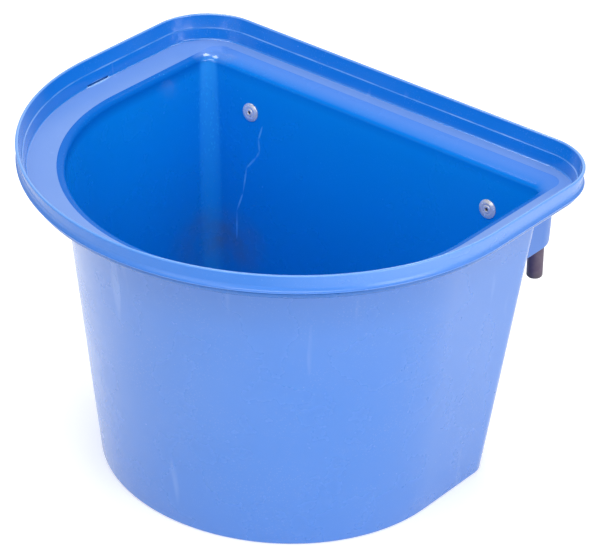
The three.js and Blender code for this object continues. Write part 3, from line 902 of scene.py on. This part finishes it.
def tub_rings():
    """Rings from the underside's middle, up the outside, over the lip and down into the basin,
    and the rings at which the lip's outside, its inside, the shelf and the basin start."""
    rings = []
    starts = []
    quarter = [QUARTER * share for share in shares(ROUND_STEPS)]

    def body(depth, inset):
        rings.append(ring(body_outline(depth, inset), depth))

    def lip(inset, depth):
        rings.append(ring(rim_outline(inset), depth))

    foot_inset = FOOT_EDGE + FOOT_WIDTH
    rings.append(ring(body_outline(LIP_TOP, foot_inset + FOOT_RISE), LIP_TOP - FOOT_RISE))
    body(LIP_TOP, foot_inset)
    for angle in quarter:
        body(LIP_TOP - FOOT_EDGE * (1 - math.cos(angle)), FOOT_EDGE * (1 - math.sin(angle)))
    for share in shares(WALL_STEPS)[1:-1]:
        body(mix(LIP_TOP - FOOT_EDGE, UNDERSIDE + SHELF_FILLET, share), 0)
    for angle in quarter:
        body(UNDERSIDE + SHELF_FILLET * (1 - math.sin(angle)),
             -SHELF_FILLET * (1 - math.cos(angle)))
    round_height = UNDERSIDE - SHELF_RISE - LIP_UNDERCUT_DROP
    for angle in quarter:
        lip(LIP_UNDERCUT + LIP_ROUND_WIDTH * (1 - math.sin(angle)),
            LIP_UNDERCUT_DROP + round_height * math.cos(angle))
    lip(LIP_UNDERCUT + LIP_CREASE, LIP_BEAD_DROP + LIP_BEAD_HEIGHT + LIP_CREASE)
    lip(LIP_BEAD_EDGE + LIP_CREASE, LIP_BEAD_DROP + LIP_BEAD_HEIGHT + LIP_BEAD_EDGE)
    starts.append(len(rings))
    lip(LIP_BEAD_EDGE, LIP_BEAD_DROP + LIP_BEAD_HEIGHT)
    lip(LIP_BEAD_EDGE * LIP_BEAD_BULGE, LIP_BEAD_DROP + LIP_BEAD_HEIGHT / 2)
    for angle in reversed(quarter):
        lip(LIP_WAIST * math.cos(angle), mix(LIP_WAIST_DROP, LIP_BEAD_DROP, math.sin(angle)))
    for angle in quarter:
        lip(LIP_EDGE * (1 - math.cos(angle)), LIP_EDGE * (1 - math.sin(angle)))
    starts.append(len(rings))
    for angle in quarter:
        lip(LIP_THICKNESS - LIP_EDGE * (1 - math.sin(angle)), LIP_EDGE * (1 - math.cos(angle)))
    lip(LIP_STEP_INSET, LIP_STEP_DROP)
    lip(LIP_STEP_INSET + LIP_STEP_WIDTH, LIP_STEP_DROP + LIP_STEP_HEIGHT)
    for angle in quarter:
        lip(LIP_FOOT_INSET + LIP_FOOT_ROUND * (1 - math.cos(angle)),
            LIP_FOOT_DROP - LIP_FOOT_ROUND * (1 - math.sin(angle)))
    starts.append(len(rings) - 2)
    starts.append(len(rings))
    mouth = section(MOUTH)
    for turn in shares(MOUTH_STEPS):
        angle = QUARTER * turn
        points = []
        for k, (x, y, back_share) in enumerate(mouth):
            drop = mix(MOUTH_ROUND, MOUTH_BACK_ROUND, back_share)
            foot_x, foot_y, _ = body_outline(SHELF_DROP + drop, WALL)[k]
            depth = SHELF_DROP + drop * (1 - math.cos(angle))
            share = math.sin(angle)
            points.append(Vector((mix(x, foot_x, share), mix(y, foot_y, share), LIP_TOP - depth)))
        rings.append(points)
    floor_depth = LIP_TOP - FOOT_RISE - FLOOR_THICKNESS
    wall_end = floor_depth - FLOOR_RADIUS
    for share in shares(WALL_STEPS)[1:-1]:
        body(mix(SHELF_DROP + MOUTH_BACK_ROUND, wall_end, share), WALL)
    for angle in quarter:
        body(floor_depth - FLOOR_RADIUS * (1 - math.sin(angle)),
             WALL + FLOOR_RADIUS * (1 - math.cos(angle)))
    return rings, starts


def make_tub():
    """The tub's skin with a material for each of its parts, and the slit cut through the shelf."""
    rings, starts = tub_rings()
    tub = loft("feed_tub", rings)
    for material in (outside_blue, lip_blue, rim_blue, shelf_blue, inside_blue):
        tub.data.materials.append(material)
    count = len(rings[0])
    for face in tub.data.polygons:
        lowest = min(face.vertices) // count
        face.material_index = sum(lowest >= start for start in starts)
    x = LIP_FOOT_INSET - RIM_HALF
    back = RIM_BACK - SLIT_FROM_BACK
    low = (x - SLIT_WIDTH / 2, back - SLIT_LENGTH, LIP_TOP - SHELF_DROP - OVERRUN)
    high = (x + SLIT_WIDTH / 2, back, LIP_TOP - LIP_FOOT_DROP + LIP_FOOT_ROUND)
    slit = block("slit", low, high)
    # The cutter gives the slit's faces the painted shade
    slit.data.materials.append(slit_shade)
    boolean(tub, slit, "DIFFERENCE")
    smooth(tub.data)
    return tub


dressed(make_tub(), None, "tub")


# Brackets

def arm_ring(radius, depth):
    """The bracket's outline from above: a half circle, carried straight into the tub's wall."""
    into = RIM_BACK - BODY_FOOT["back"]
    points = [Vector((HOOK_X + radius, into, LIP_TOP - depth))]
    for share in shares(ARM_STEPS):
        x = HOOK_X + radius * math.cos(HALF * share)
        y = ARM_CENTRE_Y + radius * math.sin(HALF * share)
        points.append(Vector((x, y, LIP_TOP - depth)))
    points.append(Vector((HOOK_X - radius, into, LIP_TOP - depth)))
    return points


def arm_radius(depth):
    return ARM_RADIUS + ARM_TAPER * (ARM_BOTTOM_DROP - depth) / (ARM_BOTTOM_DROP - ARM_TOP_DROP)


def arm_form(name, inset, bottom, top, edge):
    """The bracket's outer form, moved inwards, between two depths and with a rounded lower edge."""
    rings = []
    for share in shares(EDGE_STEPS):
        depth = bottom - edge * (1 - math.cos(QUARTER * share))
        radius = arm_radius(depth) - inset - edge * (1 - math.sin(QUARTER * share))
        rings.append(arm_ring(radius, depth))
    rings.append(arm_ring(arm_radius(top) - inset, top))
    return loft(name, rings)


def tub_envelope(name, gap, fillet):
    """The tub's outer form grown by a gap, up to the shelf's underside."""
    under = UNDERSIDE + gap
    rings = [ring(body_outline(LIP_TOP, -gap), LIP_TOP)]
    for share in shares(EDGE_STEPS):
        angle = QUARTER * share
        depth = under + fillet * (1 - math.sin(angle))
        rings.append(ring(body_outline(depth, -gap - fillet * (1 - math.cos(angle))), depth))
    return loft(name, rings)


def above_slope(name, drop):
    """All that lies above the bracket's top, which slopes down outwards, lowered by a drop."""
    reach = ARM_RADIUS + ARM_TAPER + OVERRUN
    top = LIP_TOP - ARM_TOP_DROP - drop
    inner = RIM_BACK - BODY_FOOT["back"]
    start = RIM_BACK - LIP_UNDERCUT - SHELF_THICKNESS
    end = ARM_CENTRE_Y + reach
    corners = [(inner, top), (start, top), (end, top - ARM_TOP_SLOPE),
               (end, LIP_TOP), (inner, LIP_TOP)]
    stand = Matrix(((0, 0, 1, HOOK_X), (1, 0, 0, 0), (0, 1, 0, 0), (0, 0, 0, 1)))
    return prism(name, corners, -reach, reach, stand)


def wall_line(side):
    """The matrix that lays a turned piece on the back wall's outer face at a rivet, and the
    wall's tilt there."""
    tilt = math.atan((BODY_FOOT["back"] - BODY_TOP["back"]) / (LIP_TOP - BODY_TOP_DEPTH))
    spot = wall_face(side * HOOK_X, RIVET_DROP, 0)
    return Matrix.Translation(spot) @ Matrix.Rotation(-(QUARTER + tilt), 4, "X"), tilt


def make_bracket():
    """The right bracket: a pocket, open above, with a back plate, two ribs and the pin's boss."""
    pin_x = HOOK_X + PIN_SIDE
    top = LIP_TOP - ARM_TOP_DROP
    bottom = LIP_TOP - ARM_BOTTOM_DROP
    boss_top = LIP_TOP - BOSS_TOP_DROP
    outer = arm_form("bracket", 0, ARM_BOTTOM_DROP, ARM_TOP_DROP, ARM_EDGE)
    boolean(outer, tub_envelope("seat", CLEARANCE, SHELF_FILLET - CLEARANCE), "DIFFERENCE")
    boolean(outer, above_slope("slope", 0), "DIFFERENCE")
    inside = upright("boss", PIN_RADIUS + CLEARANCE + BOSS_WALL, pin_x, PIN_Y, bottom, boss_top)
    for place in (HOOK_X - PIN_SIDE, HOOK_X + PIN_SIDE):
        low = (place - RIB_THICKNESS / 2, RIM_BACK - BODY_FOOT["back"], bottom)
        high = (place + RIB_THICKNESS / 2, ARM_CENTRE_Y + ARM_RADIUS - ARM_SKIN / 2, top)
        boolean(inside, block("rib", low, high), "UNION")
    boolean(inside, new_object("outer_copy", outer.data.copy()), "INTERSECT")
    boolean(inside, above_slope("rib_slope", RIB_DROP), "DIFFERENCE")
    head_room = upright("head_room", PIN_HEAD_RADIUS + CLEARANCE, pin_x, PIN_Y, boss_top, top)
    boolean(inside, head_room, "DIFFERENCE")
    hollow = arm_form("hollow", ARM_SKIN, ARM_BOTTOM_DROP - ARM_SEAT_PLATE,
                      ARM_TOP_DROP - OVERRUN, ARM_EDGE)
    boolean(hollow, tub_envelope("plate", CLEARANCE + ARM_PLATE, SHELF_FILLET), "DIFFERENCE")
    boolean(outer, hollow, "DIFFERENCE")
    boolean(outer, inside, "UNION")
    bore = upright("bore", PIN_RADIUS + CLEARANCE, pin_x, PIN_Y, bottom - OVERRUN, top)
    boolean(outer, bore, "DIFFERENCE")
    socket = upright("socket", SLEEVE_RADIUS + CLEARANCE, pin_x, PIN_Y, bottom - OVERRUN,
                     bottom + SLEEVE_TUCK + CLEARANCE)
    boolean(outer, socket, "DIFFERENCE")
    reach = WALL + ARM_PLATE + OVERRUN
    rivet_hole = upright("rivet_hole", SHANK_RADIUS + CLEARANCE, 0, 0, -reach, reach)
    rivet_hole.data.transform(wall_line(1)[0])
    boolean(outer, rivet_hole, "DIFFERENCE")
    outer.name = "bracket_right"
    smooth(outer.data)
    return outer


def mirrored(piece, name):
    mesh = piece.data.copy()
    mesh.transform(Matrix.Scale(-1, 4, (1, 0, 0)))
    mesh.flip_normals()
    smooth(mesh)
    return new_object(name, mesh)


bracket_right = make_bracket()
bracket_left = mirrored(bracket_right, "bracket_left")
dressed(bracket_right, bracket_blue, "hook_bracket_right")
dressed(bracket_left, bracket_blue, "hook_bracket_left")


# Pins, sleeves, rivets and washers

def make_pin(label, place):
    head_foot = SLEEVE_TIP_DROP - SLEEVE_TIP_WALL - BOSS_TOP_DROP
    head_top = head_foot + PIN_HEAD_HEIGHT
    pin = turned(f"pin_{label}", rounded([
        (0, 0, 0),
        (PIN_RADIUS, 0, PIN_CHAMFER),
        (PIN_RADIUS, head_foot, FINE_EDGE),
        (PIN_HEAD_RADIUS, head_foot, SMALL_EDGE),
        (PIN_HEAD_RADIUS, head_top, PIN_CHAMFER),
        (0, head_top, 0)]), place)
    dressed(pin, steel, f"hook_pin_{label}")


def make_sleeve(label, place):
    length = SLEEVE_TIP_DROP - ARM_BOTTOM_DROP + SLEEVE_TUCK
    bore = PIN_RADIUS + CLEARANCE
    sleeve = turned(f"sleeve_{label}", rounded([
        (0, 0, 0),
        (SLEEVE_RADIUS, 0, SLEEVE_TIP_ROUND),
        (SLEEVE_RADIUS, length, PLAIN_EDGE),
        (bore, length, FINE_EDGE),
        (bore, SLEEVE_TIP_WALL, 0),
        (0, SLEEVE_TIP_WALL, 0)]), place)
    dressed(sleeve, sleeve_rubber, f"pin_sleeve_{label}")


def make_rivet(label, face, tail, place):
    """The rivet's body, from its flange in the basin to the end of its tail behind the washer."""
    bore = MANDREL_RADIUS + CLEARANCE
    front = face - FLANGE_HEIGHT
    end = tail + TAIL_LENGTH
    rivet = turned(f"blind_rivet_{label}", rounded([
        (bore, face - FLANGE_HEIGHT * COLLAR_MOUTH_SHARE, 0),
        (bore + FINE_EDGE, front, HAIR_EDGE),
        (bore + COLLAR_WIDTH, front, BROAD_EDGE),
        (bore + COLLAR_FOOT, face - FLANGE_HEIGHT * COLLAR_FOOT_SHARE, BROAD_EDGE),
        (FLANGE_RADIUS - CROWN_INSET, face - FLANGE_HEIGHT * CROWN_SHARE, CROWN_ROUND),
        (FLANGE_RADIUS, face - FLANGE_EDGE, SMALL_EDGE),
        (FLANGE_RADIUS, face, HAIR_EDGE),
        (SHANK_RADIUS, face, 0),
        (SHANK_RADIUS, tail, HAIR_EDGE),
        (TAIL_RADIUS, tail + TAIL_TAPER, TAIL_ROUND),
        (TAIL_RADIUS, end - TAIL_TAPER, TAIL_END_ROUND),
        (SHANK_RADIUS, end, FINE_EDGE),
        (bore, end, 0)]), place)
    dressed(rivet, aluminium, f"rivet_{label}")


def make_mandrel(label, start, head, place):
    """The broken mandrel, from its stub in the flange to its head at the rivet's tail."""
    end = head + MANDREL_HEAD_LENGTH
    mandrel = turned(f"broken_mandrel_{label}", rounded([
        (0, start + MANDREL_HOLLOW, 0),
        (MANDREL_RADIUS * MANDREL_HOLLOW_SHARE, start, 0),
        (MANDREL_RADIUS, start + HAIR_EDGE, 0),
        (MANDREL_RADIUS, head, HAIR_EDGE),
        (MANDREL_HEAD_RADIUS, head, SMALL_EDGE),
        (MANDREL_HEAD_RADIUS, head + MANDREL_HEAD_LENGTH / 2, BROAD_EDGE),
        (MANDREL_RADIUS, end, FINE_EDGE),
        (0, end, 0)]), place)
    dressed(mandrel, mandrel_steel, f"rivet_mandrel_{label}")


def make_washer(label, face, place):
    hole = SHANK_RADIUS + CLEARANCE
    washer = turned(f"washer_{label}", rounded([
        (hole, face + WASHER_THICKNESS / 2, 0),
        (hole, face, HAIR_EDGE),
        (WASHER_RADIUS, face, FINE_EDGE),
        (WASHER_RADIUS, face + WASHER_THICKNESS, SMALL_EDGE),
        (hole, face + WASHER_THICKNESS, 0)]), place)
    dressed(washer, washer_zinc, f"backing_washer_{label}")


def make_hardware(label, side):
    """A bracket's pin and sleeve, and its rivet, mandrel and washer. Side is -1 or 1."""
    pin_x = side * (HOOK_X + PIN_SIDE)
    pin_foot = LIP_TOP - SLEEVE_TIP_DROP + SLEEVE_TIP_WALL + CLEARANCE
    make_pin(label, Matrix.Translation((pin_x, PIN_Y, pin_foot)))
    make_sleeve(label, Matrix.Translation((pin_x, PIN_Y, LIP_TOP - SLEEVE_TIP_DROP)))
    line, tilt = wall_line(side)
    face = -WALL * math.cos(tilt) - CLEARANCE
    washer_face = 2 * CLEARANCE + ARM_PLATE * math.cos(tilt)
    tail = washer_face + WASHER_THICKNESS + CLEARANCE
    start = face - FLANGE_HEIGHT + MANDREL_SET_BACK
    head = tail + TAIL_LENGTH + CLEARANCE
    make_rivet(label, face, tail, line)
    make_mandrel(label, start, head, line)
    make_washer(label, washer_face, line)


make_hardware("left", -1)
make_hardware("right", 1)


# Stage, light and camera

FLOOR_SIZE = 30
FLOOR_WHITE = (0.86, 0.86, 0.87, 1)
FLOOR_ROUGHNESS = 0.9
# Strengths of light, where 1 is white
FLOOR_GLOW = 0.35
WORLD_LIGHT = 0.62
FRONT_LIGHT = 0.35
CEILING_LEFT = 0.3
CEILING_RIGHT = 0.05
# Where the backdrop and the ceiling begin and end, as parts of a direction of length 1
BACKDROP_TOP = math.sin(math.radians(37))
BACKDROP_END = math.sin(math.radians(43))
BACKDROP_SIDES = (-0.2, 0.1)
CEILING_SIDES = (-0.35, 0.1)
SENSOR_WIDTH = 36
CLIP_END = 100
AIM = Vector((0, 0, 0.2))

# Softboxes, all out of the camera's sight: name, azimuth from the front towards the right and
# elevation in degrees, distance, width and height in metres, power in watts
SOFTBOXES = (
    ("softbox_front", 0, 15, 2.4, 1.3, 1.6, 7),
    ("softbox_right", 85, 15, 2.4, 1.1, 1.6, 19),
    ("softbox_top", 36, 60, 2.3, 1.6, 1.2, 21),
    ("lamp_back", -166, 58, 2.5, 0.65, 0.65, 10),
    ("lamp_corner", -110, 68, 2.5, 0.7, 0.7, 12),
)


def any_ray(tree, kinds):
    """1 for a ray of one of these kinds, else 0."""
    path = add(tree, "ShaderNodeLightPath")
    total = path.outputs[kinds[0]]
    for kind in kinds[1:]:
        total = larger(tree, total, path.outputs[kind])
    return total


def make_floor():
    """A white floor, with a glow that only the camera and glosses see, so it lights nothing."""
    bpy.ops.mesh.primitive_plane_add(size=FLOOR_SIZE, location=(0, 0, 0))
    floor = bpy.context.object
    floor.name = "floor"
    material = bpy.data.materials.new("floor_white")
    material.use_nodes = True
    tree = material.node_tree
    shader = tree.nodes["Principled BSDF"]
    shader.inputs["Base Color"].default_value = FLOOR_WHITE
    shader.inputs["Roughness"].default_value = FLOOR_ROUGHNESS
    glow = add(tree, "ShaderNodeEmission")
    total = add(tree, "ShaderNodeAddShader")
    seen = any_ray(tree, ("Is Camera Ray", "Is Glossy Ray", "Is Transmission Ray"))
    tree.links.new(ramp(tree, seen, 0, 1, 0, FLOOR_GLOW), glow.inputs["Strength"])
    tree.links.new(shader.outputs["BSDF"], total.inputs[0])
    tree.links.new(glow.outputs["Emission"], total.inputs[1])
    tree.links.new(total.outputs["Shader"], tree.nodes["Material Output"].inputs["Surface"])
    floor.data.materials.append(material)


def make_world():
    """White to the camera. A gloss sees a white backdrop behind on the left, and a dimmer studio
    in front, at the right and above."""
    world = bpy.data.worlds.new("studio")
    bpy.context.scene.world = world
    world.use_nodes = True
    tree = world.node_tree
    background = tree.nodes["Background"]
    background.inputs["Color"].default_value = (1, 1, 1, 1)
    way = add(tree, "ShaderNodeSeparateXYZ")
    tree.links.new(add(tree, "ShaderNodeTexCoord").outputs["Generated"], way.inputs["Vector"])
    behind = ramp(tree, way.outputs["X"], *BACKDROP_SIDES, 1, CEILING_RIGHT)
    to_back = ramp(tree, way.outputs["Y"], *BACKDROP_SIDES)
    around = blend_value(tree, to_back, FRONT_LIGHT, behind)
    above = ramp(tree, way.outputs["X"], *CEILING_SIDES, CEILING_LEFT, CEILING_RIGHT)
    to_top = ramp(tree, way.outputs["Z"], BACKDROP_TOP, BACKDROP_END)
    studio = blend_value(tree, to_top, around, above)
    glossy = any_ray(tree, ("Is Glossy Ray", "Is Transmission Ray"))
    strength = blend_value(tree, glossy, WORLD_LIGHT, studio)
    strength = blend_value(tree, any_ray(tree, ("Is Camera Ray",)), strength, 1)
    tree.links.new(strength, background.inputs["Strength"])


def outward(azimuth, elevation):
    """The direction away from the tub, azimuth measured from the front towards the right."""
    level = math.cos(elevation)
    return Vector((math.sin(azimuth) * level, -math.cos(azimuth) * level, math.sin(elevation)))


def softbox(name, azimuth, elevation, distance, width, height, power):
    light = bpy.data.lights.new(name, "AREA")
    light.shape = "RECTANGLE"
    light.size = width
    light.size_y = height
    light.energy = power
    lamp = bpy.data.objects.new(name, light)
    bpy.context.scene.collection.objects.link(lamp)
    way = outward(math.radians(azimuth), math.radians(elevation))
    lamp.location = AIM + way * distance
    lamp.rotation_euler = way.to_track_quat("Z", "Y").to_euler()
    lamp.visible_camera = False


def make_camera():
    camera = bpy.data.objects.new("camera", bpy.data.cameras.new("camera"))
    bpy.context.scene.collection.objects.link(camera)
    camera.data.sensor_width = SENSOR_WIDTH
    camera.data.lens = CAMERA_LENS
    camera.data.clip_end = CLIP_END
    target = Vector((LOOK_RIGHT, RIM_BACK - LOOK_FROM_BACK, LIP_TOP - LOOK_BELOW_LIP))
    back = outward(CAMERA_AZIMUTH, CAMERA_ELEVATION)
    turn = back.to_track_quat("Z", "Y").to_matrix().to_4x4()
    roll = Matrix.Rotation(CAMERA_ROLL, 4, "Z")
    camera.matrix_world = Matrix.Translation(target + back * CAMERA_DISTANCE) @ turn @ roll
    bpy.context.scene.camera = camera


make_floor()
make_world()
for values in SOFTBOXES:
    softbox(*values)
make_camera()
bpy.context.scene.view_settings.view_transform = "Standard"
